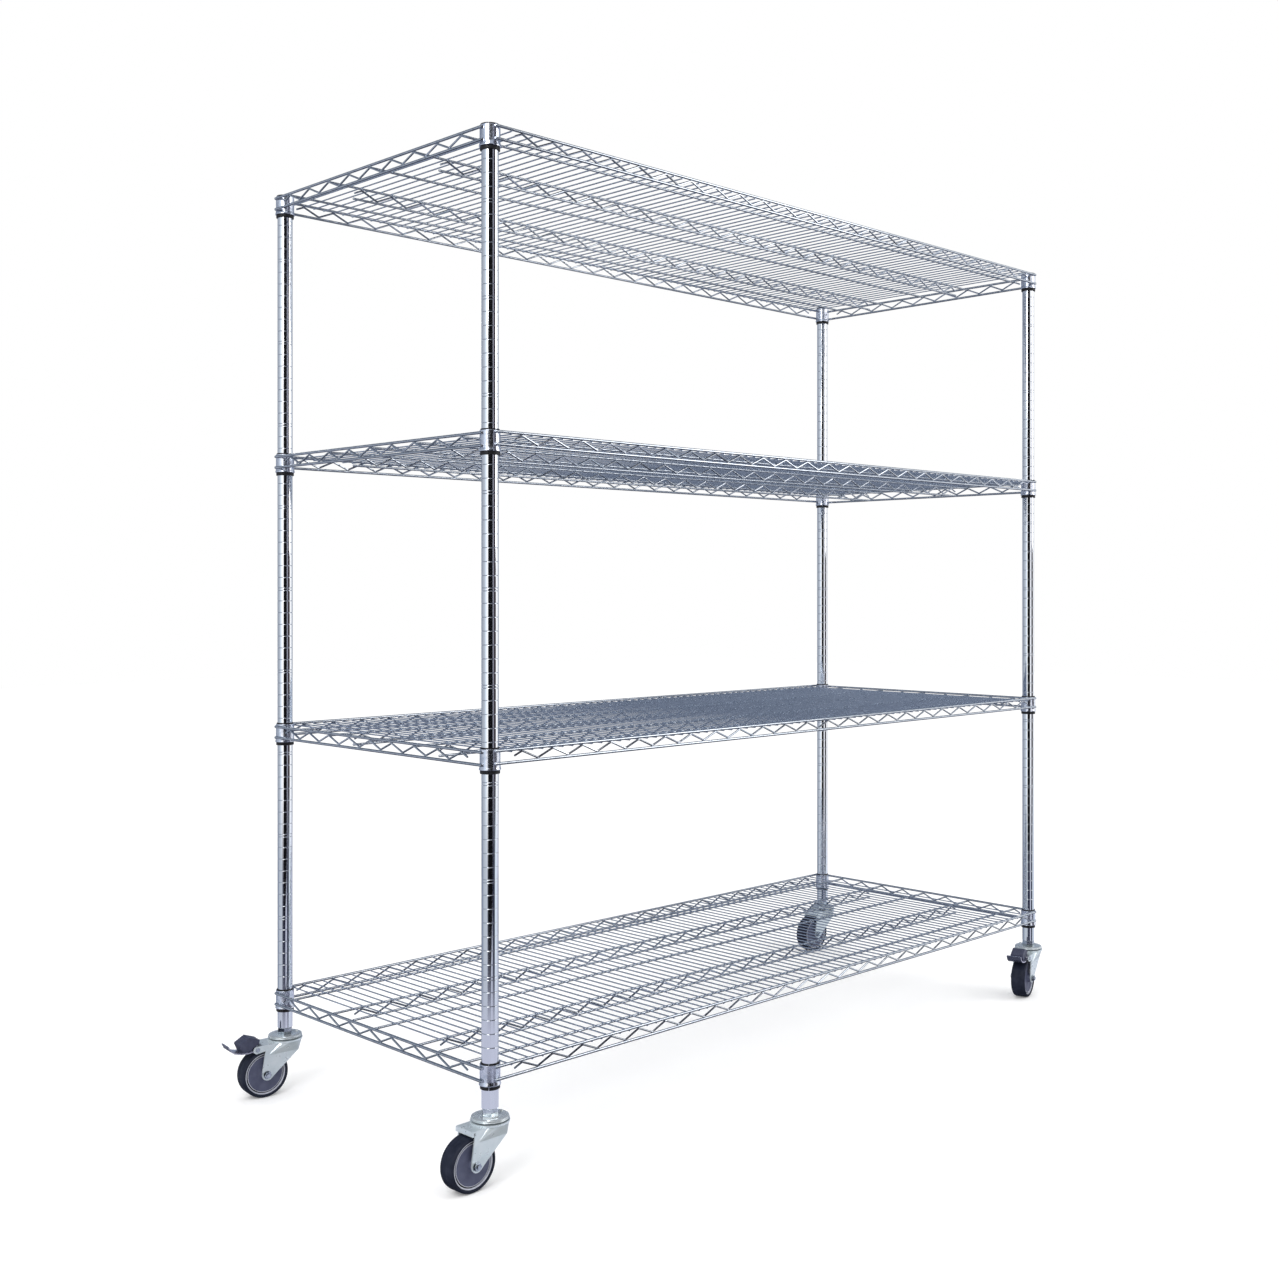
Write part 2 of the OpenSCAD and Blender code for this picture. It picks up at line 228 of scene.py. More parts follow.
EVEN = (1, 1, 1)
DRAWN = (1, 1, 0.04)
tube_chrome = finish_material("tube_chrome", 1, (0.78, 0.80, 0.84), (0.88, 0.90, 0.93),
                              (0.05, 0.11), 60, DRAWN, (0.06, 0.05, 500))
# Painted shade: this chrome gets a darker, bluish base colour than the tube chrome, standing in for
# the dark surroundings the thin wires reflect
wire_chrome_painted_shade = finish_material("wire_chrome_painted_shade", 1, (0.48, 0.52, 0.57), (0.70, 0.73, 0.77),
                              (0.10, 0.18), 90, EVEN, (0.08, 0.05, 900))
# Painted shade: the deck chrome gets a darker blue-grey base colour, standing in for the cool shade
# and reflections on the deck
deck_chrome_painted_shade = finish_material("deck_chrome_painted_shade", 1, (0.58, 0.65, 0.76), (0.70, 0.76, 0.86),
                              (0.20, 0.28), 40, EVEN, (0.04, 0.03, 600))
collar_chrome = finish_material("collar_chrome", 1, (0.60, 0.64, 0.74), (0.84, 0.86, 0.93),
                                (0.14, 0.30), 170, EVEN, (0.35, 0.25, 230))
sleeve_plastic = finish_material("sleeve_plastic", 0, (0.006, 0.006, 0.008), (0.014, 0.014, 0.016),
                                 (0.35, 0.5), 120, EVEN, (0.15, 0.05, 900))
zinc = finish_material("zinc", 0.55, (0.60, 0.68, 0.72), (0.72, 0.78, 0.81),
                       (0.26, 0.36), 40, EVEN, (0.02, 0.05, 300))
plate_zinc = finish_material("plate_zinc", 0.7, (0.72, 0.78, 0.80), (0.84, 0.88, 0.89),
                             (0.16, 0.26), 80, EVEN, (0.06, 0.06, 400))
bolt_zinc = finish_material("bolt_zinc", 1, (0.40, 0.45, 0.50), (0.76, 0.80, 0.83),
                            (0.10, 0.20), 150, EVEN, (0.10, 0.06, 500))
pedal_metal = finish_material("pedal_metal", 1, (0.74, 0.72, 0.82), (0.88, 0.86, 0.92),
                              (0.20, 0.32), 90, EVEN, (0.10, 0.06, 420))
hub_plastic = finish_material("hub_plastic", 0, (0.055, 0.06, 0.105), (0.08, 0.088, 0.14),
                              (0.36, 0.48), 60, EVEN, (0.12, 0.04, 1400))
ring_plastic = finish_material("ring_plastic", 0, (0.42, 0.44, 0.52), (0.56, 0.58, 0.66),
                               (0.30, 0.42), 90, EVEN, (0.10, 0.04, 1200))
tyre_rubber = finish_material("tyre_rubber", 0, (0.006, 0.009, 0.022), (0.014, 0.018, 0.036),
                              (0.48, 0.66), 70, EVEN, (0.25, 0.06, 1100))
pad_plastic = finish_material("pad_plastic", 0, (0.032, 0.036, 0.07), (0.055, 0.06, 0.105),
                              (0.38, 0.52), 90, EVEN, (0.30, 0.06, 1000))
SATIN_SPECULAR = 0.25
for satin in (tyre_rubber, hub_plastic, sleeve_plastic):
    shader = satin.node_tree.nodes["Principled BSDF"]
    shader.inputs["Specular IOR Level"].default_value = SATIN_SPECULAR

# ---------- shape tools ----------

# A wire's cut end narrows to this share of its radius over this share of its radius
WIRE_CUT = 0.72
WIRE_CHAMFER = 0.25


class Shape:
    """Vertices in millimetres and faces of one piece."""

    def __init__(self):
        self.verts = []
        self.faces = []

    def loft(self, rings, wrap=False):
        """Skins a list of equally long point rings, and fills the two end rings. With wrap, the
        last ring is joined to the first instead."""
        start = len(self.verts)
        count = len(rings[0])
        for ring in rings:
            self.verts.extend(Vector(p) for p in ring)
        steps = len(rings) if wrap else len(rings) - 1
        for i in range(steps):
            a = start + i * count
            b = start + (i + 1) % len(rings) * count
            for j in range(count):
                k = (j + 1) % count
                self.faces.append((a + j, a + k, b + k, b + j))
        if not wrap:
            self.faces.append(tuple(start + j for j in reversed(range(count))))
            last = start + (len(rings) - 1) * count
            self.faces.append(tuple(last + j for j in range(count)))

    def lathe(self, profile, centre=(0, 0, 0), segments=64, start=0.0, sweep=360.0):
        """Turns a closed (radius, height) outline about the vertical through centre."""
        whole = sweep >= 360
        count = segments if whole else segments + 1
        origin = Vector(centre)
        rings = []
        for i in range(count):
            a = math.radians(start + sweep * i / segments)
            c, s = math.cos(a), math.sin(a)
            rings.append([origin + Vector((r * c, r * s, z)) for r, z in profile])
        self.loft(rings, wrap=whole)

    def tube(self, path, radius, sides=12):
        """A round wire along a path, with slightly rounded cut ends."""
        points = [Vector(p) for p in path]
        first = (points[1] - points[0]).normalized()
        last = (points[-1] - points[-2]).normalized()
        chamfer = WIRE_CHAMFER * radius
        spine = [points[0], points[0] + first * chamfer, *points[1:-1],
                 points[-1] - last * chamfer, points[-1]]
        cut = WIRE_CUT * radius
        radii = [cut] + [radius] * (len(spine) - 2) + [cut]
        up = first.orthogonal().normalized()
        rings = []
        for i, p in enumerate(spine):
            ahead = spine[min(i + 1, len(spine) - 1)] - p
            behind = p - spine[max(i - 1, 0)]
            along = (ahead.normalized() + behind.normalized()).normalized()
            up = (up - along * up.dot(along)).normalized()
            side = along.cross(up)
            rings.append([p + (up * math.cos(t) + side * math.sin(t)) * radii[i]
                          for t in (2 * math.pi * j / sides for j in range(sides))])
        self.loft(rings)

    def bead(self, centre, radii, segments=8):
        """A small weld bead: a flattened round lump."""
        origin = Vector(centre)
        rings = []
        for tilt in (-80, -40, 0, 40, 80):
            t = math.radians(tilt)
            rings.append([origin + Vector((radii[0] * math.cos(t) * math.cos(a),
                                           radii[1] * math.cos(t) * math.sin(a),
                                           radii[2] * math.sin(t)))
                          for a in (2 * math.pi * j / segments for j in range(segments))])
        self.loft(rings)

    def move(self, matrix):
        self.verts = [matrix @ v for v in self.verts]

    def make(self, name, material, body, stands_for=(), sharp=32):
        mesh = bpy.data.meshes.new(name)
        mesh.from_pydata([v * MM for v in self.verts], [], self.faces)
        mesh.materials.append(material)
        mesh.validate()
        mesh.update()
        mesh.shade_smooth()
        mesh.set_sharp_from_angle(angle=math.radians(sharp))
        piece = bpy.data.objects.new(name, mesh)
        bpy.context.collection.objects.link(piece)
        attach(piece, body)
        if stands_for:
            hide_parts(*stands_for)
        return piece


def arc(cx, cy, r, start, end, steps):
    angles = (math.radians(start + (end - start) * i / steps) for i in range(steps + 1))
    return [(cx + r * math.cos(a), cy + r * math.sin(a)) for a in angles]


def rounded(corners, radius, steps=5):
    """The corners of a flat path replaced with arcs of the given radius."""
    path = [Vector(corners[0])]
    for a, b, c in zip(corners, corners[1:], corners[2:]):
        a, b, c = Vector(a), Vector(b), Vector(c)
        into, out = (b - a).normalized(), (c - b).normalized()
        half_turn = math.acos(max(-1, min(1, into.dot(out)))) / 2
        back = radius * math.tan(half_turn)
        start, end = b - into * back, b + out * back
        for i in range(steps + 1):
            t = i / steps
            # A quadratic curve is close to the arc over such small turns
            path.append(start * (1 - t) ** 2 + b * 2 * t * (1 - t) + end * t ** 2)
    path.append(Vector(corners[-1]))
    return path


def turned(x, y, yaw):
    return Matrix.Translation((x, y, 0)) @ Matrix.Rotation(yaw, 4, "Z")


# ---------- shelves ----------

BEND_R = 7.0


def zigzag(legs, pitch, low_face, high_face):
    """(distance, height) of a bent wire between two wires' faces; its ends stop at half height."""
    leg = pitch / 2
    low, high = low_face + TRUSS_R, high_face - TRUSS_R
    slope = math.atan((high - low) / leg)
    over = BEND_R * (1 / math.cos(slope) - 1) * 0.5
    mid = (low + high) / 2
    corners = [(-(legs + 1) / 2 * leg, mid, 0)]
    for i in range(legs + 1):
        corners.append(((i - legs / 2) * leg, high + over if i % 2 == 0 else low - over, 0))
    corners.append(((legs + 1) / 2 * leg, mid, 0))
    return [(p.x, p.y) for p in rounded(corners, BEND_R)]


def truss_points(legs, pitch, bottom, top, low_r, high_r):
    return zigzag(legs, pitch, bottom + low_r - WELD, top - high_r + WELD)


def edge_wires(i):
    shape = Shape()
    foot = FEET[i]
    x, y = POST_X + EDGE_OVERRUN, POST_Y + EDGE_OVERRUN
    for s in SIDES:
        for z in (EDGE_TOP, EDGE_BOTTOM):
            shape.tube([(RACK_X - x, s * EDGE_Y, foot + z), (RACK_X + x, s * EDGE_Y, foot + z)],
                       EDGE_R, sides=20)
        for z in (SIDE_TOP, SIDE_BOTTOM):
            shape.tube([(RACK_X + s * EDGE_X, -y, foot + z), (RACK_X + s * EDGE_X, y, foot + z)],
                       EDGE_R, sides=20)
    shape.make(f"shelf_{i}_edge_wires_round", wire_chrome_painted_shade, "rack",
               [f"shelf_{i}_edge_wires"])


def truss_wires(i):
    shape = Shape()
    foot = FEET[i]
    long_path = truss_points(LONG_LEGS, TRUSS_PITCH, EDGE_BOTTOM, EDGE_TOP, EDGE_R, EDGE_R)
    rib_path = truss_points(LONG_LEGS, TRUSS_PITCH, RIB_BOTTOM, ROD_Z, ROD_R, ROD_R)
    side_path = truss_points(SIDE_LEGS, SIDE_PITCH, SIDE_BOTTOM, SIDE_TOP, EDGE_R, EDGE_R)
    for s in SIDES:
        for path in ([(RACK_X + u, s * EDGE_Y, foot + z) for u, z in long_path],
                     [(RACK_X + u, s * ROD_GAP, foot + z) for u, z in rib_path],
                     [(RACK_X + s * EDGE_X, u, foot + z) for u, z in side_path]):
            shape.tube(path, TRUSS_R, sides=10)
    shape.make(f"shelf_{i}_truss_wires_bent", wire_chrome_painted_shade, "rack",
               [f"shelf_{i}_truss_wires"])


def rib_wires(i):
    shape = Shape()
    foot = FEET[i]
    for row in RODS:
        y = row * ROD_GAP
        shape.tube([(RACK_X - ROD_REACH, y, foot + ROD_Z), (RACK_X + ROD_REACH, y, foot + ROD_Z)],
                   ROD_R, sides=16)
    for s in SIDES:
        y = s * ROD_GAP
        shape.tube([(RACK_X - RIB_REACH, y, foot + RIB_BOTTOM),
                    (RACK_X + RIB_REACH, y, foot + RIB_BOTTOM)], ROD_R, sides=16)
    shape.make(f"shelf_{i}_rib_wires_round", wire_chrome_painted_shade, "rack",
               [f"shelf_{i}_rib_wires"])


def deck_places():
    """(distance from the shelf's middle, meets a bend of the edge zigzag) of each deck wire."""
    for k in range(DECK_COUNT):
        yield (k - (DECK_COUNT - 1) / 2) * DECK_PITCH, k % 3 == 1


# A deck wire's ends lie over the edge wires, or stop short of a bend of the zigzag
DECK_OVERLAP = 1
DECK_CUT_SPREAD = 0.8


def deck_wires(i):
    shape = Shape()
    z = FEET[i] + DECK_Z
    for u, meets_bend in deck_places():
        reach = EDGE_Y - TRUSS_R - FIT if meets_bend else EDGE_Y + DECK_OVERLAP
        ends = [reach - dice.uniform(0.0, DECK_CUT_SPREAD) for _ in range(2)]
        shape.tube([(RACK_X + u, -ends[0], z), (RACK_X + u, ends[1], z)], DECK_R, sides=12)
    shape.make(f"shelf_{i}_deck_wires_cut", deck_chrome_painted_shade, "rack",
               [f"shelf_{i}_deck_wires"])


# Half sizes of the weld beads: along the rack, across it, and in height
ROD_WELD = (2.3, 2.6, 1.0)
EDGE_WELD = (2.2, 2.0, 0.9)
TRUSS_WELD = (3.2, 2.1, 0.9)
RIB_WELD = (3.0, 2.0, 0.8)
SIDE_WELD = (2.1, 3.2, 0.9)
FRONT_FILLET = (5.5, 1.5, 2.3)
SIDE_FILLET = (1.5, 5.5, 2.3)


def welds(i):
    """Beads where wires cross or touch: deck on rods and edges, and zigzags on their wires."""
    shape = Shape()
    foot = FEET[i]
    seam = (DECK_Z - DECK_R + ROD_Z + ROD_R) / 2
    for u, meets_bend in deck_places():
        for row in RODS:
            shape.bead((RACK_X + u, row * ROD_GAP, foot + seam), ROD_WELD)
        if not meets_bend:
            for s in SIDES:
                shape.bead((RACK_X + u, s * EDGE_Y, foot + DECK_Z + DECK_R - 0.3), EDGE_WELD)
    for k in range(LONG_LEGS + 1):
        u = (k - LONG_LEGS / 2) * TRUSS_PITCH / 2
        upper = k % 2 == 0
        z = EDGE_TOP - EDGE_R if upper else EDGE_BOTTOM + EDGE_R
        rib_z = ROD_Z - ROD_R if upper else RIB_BOTTOM + ROD_R
        for s in SIDES:
            shape.bead((RACK_X + u, s * EDGE_Y, foot + z), TRUSS_WELD)
            shape.bead((RACK_X + u, s * ROD_GAP, foot + rib_z), RIB_WELD)
    for k in range(SIDE_LEGS + 1):
        u = (k - SIDE_LEGS / 2) * SIDE_PITCH / 2
        z = SIDE_TOP - EDGE_R if k % 2 == 0 else SIDE_BOTTOM + EDGE_R
        for s in SIDES:
            shape.bead((RACK_X + s * EDGE_X, u, foot + z), SIDE_WELD)
    shape.make(f"shelf_{i}_welds", wire_chrome_painted_shade, "rack")


# Heights above the sleeve's foot, and outer radii
COLLAR_SEAT = 6.55
COLLAR_TOP = 45.0
COLLAR_R = 18.7
FILLET_PLACE = 18.6
SLEEVE_TOP = 47.5
SLEEVE_R = 17.3
RING_R = 18.2
# The slit between a sleeve's half shells lies on this bearing, in degrees
SLIT_BEARING = 45
HALF_SHELL = 176


def collars(i):
    """Corner tubes with a flared, rolled foot and small fillets at the edge wires."""
    shape = Shape()
    bore = SLEEVE_R + FIT
    outline = ([(bore, COLLAR_SEAT)]
               + arc(19.3, COLLAR_SEAT + 0.7, 0.7, -90, 0, 4)
               + [(20.0, COLLAR_SEAT + 2.0), (19.4, COLLAR_SEAT + 4.0), (18.9, COLLAR_SEAT + 6.5),
                  (COLLAR_R, COLLAR_SEAT + 9.0), (COLLAR_R, COLLAR_TOP - 1)]
               + arc(COLLAR_R - 0.6, COLLAR_TOP - 0.6, 0.6, 0, 90, 4)
               + [(bore, COLLAR_TOP)])
    for corner in CORNERS:
        x, y = POSTS[corner]
        shape.lathe(outline, (x, y, FEET[i]), segments=72)
        sx, sy = math.copysign(1, x - RACK_X), math.copysign(1, y)
        for z in (EDGE_TOP, EDGE_BOTTOM):
            shape.bead((x - sx * 1.5, y + sy * FILLET_PLACE, FEET[i] + z), FRONT_FILLET, 10)
        for z in (SIDE_TOP, SIDE_BOTTOM):
            shape.bead((x + sx * FILLET_PLACE, y - sy * 1.5, FEET[i] + z), SIDE_FILLET, 10)
    shape.make(f"shelf_{i}_collars_tapered", collar_chrome, "rack",
               [f"shelf_{i}_collars"])


def sleeves(i):
    """Split sleeves: two half shells with a foot ring outside and a locking bead inside."""
    shape = Shape()
    bore = POST_R + FIT
    outline = ([(bore, 0.4), (bore + 0.4, 0)]
               + arc(RING_R - 0.7, 0.7, 0.7, -90, 0, 4)
               + arc(RING_R - 0.5, COLLAR_SEAT - 0.55, 0.5, 0, 90, 4)
               + [(SLEEVE_R, COLLAR_SEAT - FIT), (SLEEVE_R, SLEEVE_TOP - 0.5),
                  (SLEEVE_R - 0.5, SLEEVE_TOP), (bore, SLEEVE_TOP),
                  (bore, BEAD_HEIGHT + 0.9), (bore - 0.5, BEAD_HEIGHT + 0.5),
                  (bore - 0.5, BEAD_HEIGHT - 0.5), (bore, BEAD_HEIGHT - 0.9)])
    for corner in CORNERS:
        x, y = POSTS[corner]
        for slit in (SLIT_BEARING, SLIT_BEARING + 180):
            start = slit + (180 - HALF_SHELL) / 2
            shape.lathe(outline, (x, y, FEET[i]), 40, start, HALF_SHELL)
    shape.make(f"shelf_{i}_sleeves_split", sleeve_plastic, "rack",
               [f"shelf_{i}_sleeves"])


# ---------- posts ----------


def groove_heights():
    heights = [FEET[1] + BEAD_HEIGHT]
    top = FEET[4] + BEAD_HEIGHT
    count = int((top - LOWEST_GROOVE) // GROOVE_PITCH)
    for k in range(count, -1, -1):
        z = top - k * GROOVE_PITCH
        double = k % DOUBLE_EVERY == DOUBLE_FIRST
        heights += [z - DOUBLE_OFFSET, z + DOUBLE_OFFSET] if double else [z]
    return heights


def post(corner):
    """A tube with pressed grooves whose edges are softly rounded."""
    outline = [(POST_R - 0.5, POST_FOOT), (POST_R, POST_FOOT + 0.5), (POST_R, POST_FOOT + 0.9)]
    for z in groove_heights():
        # The outermost points hold the tube's wall straight up to the groove
        for t in (-1.3, -1, -0.75, -0.5, -0.25, 0, 0.25, 0.5, 0.75, 1, 1.3):
            depth = GROOVE_DEPTH * (0.5 + 0.5 * math.cos(math.pi * max(-1, min(1, t))))
            outline.append((POST_R - depth, z + t * GROOVE_HALF))
    outline += [(POST_R, POST_TOP - 0.9), (POST_R, POST_TOP - 0.5), (POST_R - 0.5, POST_TOP),
                (POST_R - POST_WALL, POST_TOP), (POST_R - POST_WALL, POST_FOOT)]
    shape = Shape()
    shape.lathe(outline, (*POSTS[corner], 0), segments=72)
    shape.make(f"post_{corner}_tube", tube_chrome, "rack", [f"post_{corner}"],
               sharp=50)


def post_caps():
    shape = Shape()
    plug_r = POST_R - (POST_WALL + FIT)
    plug, dome, edge = 12, 3, 0.3
    outline = ([(AXIS_R, POST_TOP - plug), (plug_r - 1, POST_TOP - plug),
                (plug_r, POST_TOP - plug + 1), (plug_r, POST_TOP), (POST_R - edge, POST_TOP + FIT)]
               + [(POST_R * math.cos(t), POST_TOP + edge + (dome - edge) * math.sin(t))
                  for t in (math.radians(6 * k) for k in range(15))]
               + [(AXIS_R, POST_TOP + dome)])
    for corner in CORNERS:
        shape.lathe(outline, (*POSTS[corner], 0), segments=64)
    shape.make("post_caps_domed", sleeve_plastic, "rack", ["post_caps"])


STEM_R = 11
STEM_TOP = 192


def post_sockets():
    shape = Shape()
    bore, outer, top = STEM_R + FIT, 13.95, POST_FOOT + 50
    outline = [(bore, POST_FOOT), (outer - 0.35, POST_FOOT), (outer, POST_FOOT + 0.4),
               (outer, top), (bore, top)]
    for corner in CORNERS:
        shape.lathe(outline, (*POSTS[corner], 0), segments=48)
    shape.make("post_sockets_ringed", sleeve_plastic, "rack", ["post_sockets"])


# ---------- casters ----------

PLATE_TOP = 124.0
PLATE_DISH = 123.3
KINGPIN_R = 5
KINGPIN_HEAD_R = 8.5
HEXAGON_R = 15.6
RIVET_R = 3.5
RIVET_SEAT = 123.5
RIVET_PLACE = 25.5
# The rivet's bearing from the caster's heading, where it isn't zero
RIVET_TURN = {"front_right": math.radians(70)}


def caster_yaw(corner):
    axis = joint(corner + "_roll")["axis"]
    return math.atan2(-axis[0], axis[1])


def axle_frame(corner):
    """Turns a shape lathed about +Z into one about the wheel's axle."""
    centre = Vector(joint(corner + "_roll")["pos_m"]) / MM
    tilt = Matrix.Rotation(math.radians(90), 4, "X")
    return Matrix.Translation(centre) @ Matrix.Rotation(caster_yaw(corner), 4, "Z") @ tilt


def caster_stem(corner):
    """Top plate with a double rolled rim and a rivet, stem and kingpin; the hexagon is apart."""
    shape = Shape()
    outline = ([(AXIS_R, 105.1), (KINGPIN_HEAD_R - 1, 105.1), (KINGPIN_HEAD_R, 106.1),
                (KINGPIN_HEAD_R, 109.1), (KINGPIN_R, 109.1), (KINGPIN_R, 121.4),
                (28, 121.4), (31, 119.9), (32, 118.0)]
               + arc(34.0, 119.0, 1.0, -90, 60, 6)
               + [(33.3, 120.3), (33.2, 120.8), (33.6, 121.1)]
               + arc(33.6, 121.9, 0.8, -60, 70, 5)
               + [(32.6, 123.2), (31, 123.7), (29, 123.9), (26, PLATE_TOP),
                  (22, PLATE_TOP), (20.5, 123.5), (19, PLATE_DISH), (AXIS_R, PLATE_DISH)])
    shape.lathe(outline, segments=96)
    hexagon = [(HEXAGON_R * math.cos(math.radians(a)), HEXAGON_R * math.sin(math.radians(a)))
               for a in range(0, 360, 60)]
    rings = []
    for scale, z in ((1, 123.2), (1, POST_FOOT - 0.9), (0.95, POST_FOOT)):
        rings.append([(x * scale, y * scale, z) for x, y in hexagon])
    nut = Shape()
    nut.loft(rings)
    nut.move(turned(*POSTS[corner], caster_yaw(corner)))
    nut.make(f"caster_{corner}_stem_hexagon", bolt_zinc, "rack")
    shape.lathe([(AXIS_R, POST_FOOT - 1), (STEM_R, POST_FOOT - 1), (STEM_R, STEM_TOP - 2),
                 (STEM_R - 1.5, STEM_TOP), (AXIS_R, STEM_TOP)], segments=48)
    turn = RIVET_TURN.get(corner, 0.0)
    centre = (RIVET_PLACE * math.cos(turn), RIVET_PLACE * math.sin(turn), 0)
    dome = [(RIVET_R * math.cos(t), RIVET_SEAT + RIVET_R * math.sin(t))
            for t in (math.radians(a) for a in range(15, 90, 15))]
    shape.lathe([(AXIS_R, RIVET_SEAT), (RIVET_R, RIVET_SEAT), *dome,
                 (AXIS_R, RIVET_SEAT + RIVET_R)], centre, segments=24)
    shape.move(turned(*POSTS[corner], caster_yaw(corner)))
    shape.make(f"caster_{corner}_stem_plate", plate_zinc, "rack",
               [f"caster_{corner}_stem"], sharp=35)


WHEEL_R = 50.0
HUB_R = 43.0
HUB_FACE = 15.5
HUB_BORE = 6.05


def mirrored(half):
    """A wheel's outline from the half above its middle plane."""
    return half + [(r, -z) for r, z in reversed(half)]


def caster_hub(corner):
    """A slightly dished disc with a boss, a groove whose floor is a near-black ring of painted
    shade, and a light ring against the tyre.
    """
    half = [(HUB_BORE, 21.4), (9.6, 21.4), (10.4, 20.8), (12, HUB_FACE - 0.4),
            (13.5, HUB_FACE - 1.1), (24, HUB_FACE - 1.6), (33, HUB_FACE - 1.3),
            (35.8, HUB_FACE - 0.9), (36.8, HUB_FACE - 0.75), (37.2, HUB_FACE - 1.3),
            (37.3, HUB_FACE - 3)]
    shape = Shape()
    shape.lathe(mirrored(half + [(38.4, HUB_FACE - 3.3), (39.5, HUB_FACE - 3.3)]), segments=128)
    shape.move(axle_frame(corner))
    shape.make(f"caster_{corner}_hub_disc", hub_plastic, corner + "_wheel",
               [f"caster_{corner}_hub"], sharp=40)
    lips = {"hub_ring": (ring_plastic, [(39.4, HUB_FACE - 3.4), (40.4, HUB_FACE - 2.9),
                                        (40.9, HUB_FACE - 1), (41.1, HUB_FACE + 0.2),
                                        (41.6, HUB_FACE + 0.5), (42.4, HUB_FACE + 0.4),
                                        (42.9, HUB_FACE)]),
            "hub_lip": (ring_plastic, [(37.0, HUB_FACE - 3.1), (37.0, HUB_FACE - 0.75),
                                       (37.3, HUB_FACE - 0.5), (37.8, HUB_FACE - 0.6),
                                       (38.0, HUB_FACE - 3.1)]),
            # Painted shade: a near-black ring in the groove's floor makes the recess dark
            "hub_groove_painted_shade": (sleeve_plastic, [(37.9, HUB_FACE - 3.2), (38.1, HUB_FACE - 2.4),
                                            (40.2, HUB_FACE - 2.4), (40.4, HUB_FACE - 3.2)])}
    for name, (material, half) in lips.items():
        ring = Shape()
        ring.lathe(mirrored(half), segments=128)
        ring.move(axle_frame(corner))
        ring.make(f"caster_{corner}_{name}", material, corner + "_wheel")


def caster_tyre(corner):
    half = [(HUB_R, HUB_FACE), (43.6, 17.2), (44.4, 18.2), (45.2, 18.5)]
    half += [(44.5 + 5.4 * math.cos(t), 13.0 + 5.5 * math.sin(t))
             for t in (math.radians(a) for a in range(75, -1, -15))]
    half += [(WHEEL_R - 0.03, 8), (WHEEL_R, 0.7), (WHEEL_R - 0.15, 0.25)]
    shape = Shape()
    shape.lathe(mirrored(half), segments=144)
    shape.move(axle_frame(corner))
    shape.make(f"caster_{corner}_tyre_tread", tyre_rubber, corner + "_wheel",
               [f"caster_{corner}_tyre"], sharp=40)


def soften(node, material, width, segments=3):
    """A CAD node keeps its shape and gets a material and small round edges."""
    piece = frame["nodes"][node]
    piece.data.materials.clear()
    piece.data.materials.append(material)
    bevel = piece.modifiers.new("edges", "BEVEL")
    bevel.width = width * MM
    bevel.segments = segments
    bevel.limit_method = "ANGLE"
    bevel.angle_limit = math.radians(35)
    bevel.harden_normals = False
    piece.data.shade_smooth()


for level in LEVELS:
    edge_wires(level)
    truss_wires(level)
    rib_wires(level)
    deck_wires(level)
    welds(level)
    collars(level)
    sleeves(level)
for corner in CORNERS:
    post(corner)
    caster_stem(corner)
    caster_hub(corner)
    caster_tyre(corner)
    soften(f"caster_{corner}_fork", zinc, 0.8)
    soften(f"caster_{corner}_axle_set", bolt_zinc, 0.4, 2)
    soften(f"caster_{corner}_ball_race", bolt_zinc, 0.01, 1)
for corner in BRAKED:
    soften(f"caster_{corner}_pedal", pedal_metal, 0.6)
    soften(f"caster_{corner}_pad", pad_plastic, 1.6)
post_caps()
post_sockets()

# ---------- studio ----------


def studio_floor():
    mesh = bpy.data.meshes.new("floor")
    half = 14.0
    mesh.from_pydata([(-half, -half, 0), (half, -half, 0), (half, half, 0), (-half, half, 0)], [],
                     [(0, 1, 2, 3)])
    mat = finish_material("floor_paper", 0, (0.93, 0.93, 0.935), (0.96, 0.96, 0.96), (0.9, 0.95), 3,
                          EVEN, (0.02, 0.05, 300))
    shader = mat.node_tree.nodes["Principled BSDF"]
    shader.inputs["Specular IOR Level"].default_value = 0
    shader.inputs["Emission Color"].default_value = (1, 1, 1, 1)
    shader.inputs["Emission Strength"].default_value = 0.12
    mesh.materials.append(mat)
    floor = bpy.data.objects.new("floor", mesh)
    bpy.context.collection.objects.link(floor)
    floor.visible_glossy = False


def mix_colours(tree, kind, factor, a, b):
    node = tree.nodes.new("ShaderNodeMix")
    node.data_type = "RGBA"
    node.blend_type = kind
    if isinstance(factor, float):
        node.inputs["Factor"].default_value = factor
    else:
        tree.links.new(factor, node.inputs["Factor"])
    tree.links.new(a, node.inputs["A"])
    tree.links.new(b, node.inputs["B"])
    return node.outputs["Result"]


# What mirrors see round the room, level and just below: (degrees from +X towards +Y, colour)
NAVY, MAROON, SLATE = (0.015, 0.018, 0.04), (0.05, 0.042, 0.05), (0.20, 0.24, 0.32)
DIM, ASH, GREY = (0.10, 0.11, 0.13), (0.32, 0.35, 0.40), (0.46, 0.50, 0.56)
LAVENDER, ICE, WHITE = (0.50, 0.52, 0.63), (0.74, 0.83, 0.92), (1.0, 1.0, 1.0)
ROOM = [(-180, ICE), (-172, WHITE), (-94, WHITE), (-86, LAVENDER), (-78, MAROON), (-46, MAROON),
        (-38, WHITE), (-13, WHITE), (6, GREY), (24, SLATE), (84, SLATE), (110, ASH), (156, GREY),
        (174, ICE)]
LOW_ROOM = [(-180, GREY), (-164, GREY), (-156, NAVY), (-118, NAVY), (-108, LAVENDER),
            (-96, LAVENDER), (-88, NAVY), (-64, NAVY), (-54, ICE), (-10, LAVENDER), (24, LAVENDER),
            (40, DIM), (110, SLATE), (150, GREY)]
# How bright it is from straight down (0) to straight up (1)
RISE = [(0.0, DIM), (0.28, DIM), (0.32, WHITE), (0.62, WHITE), (0.72, GREY), (0.92, ASH),
        (1.0, WHITE)]
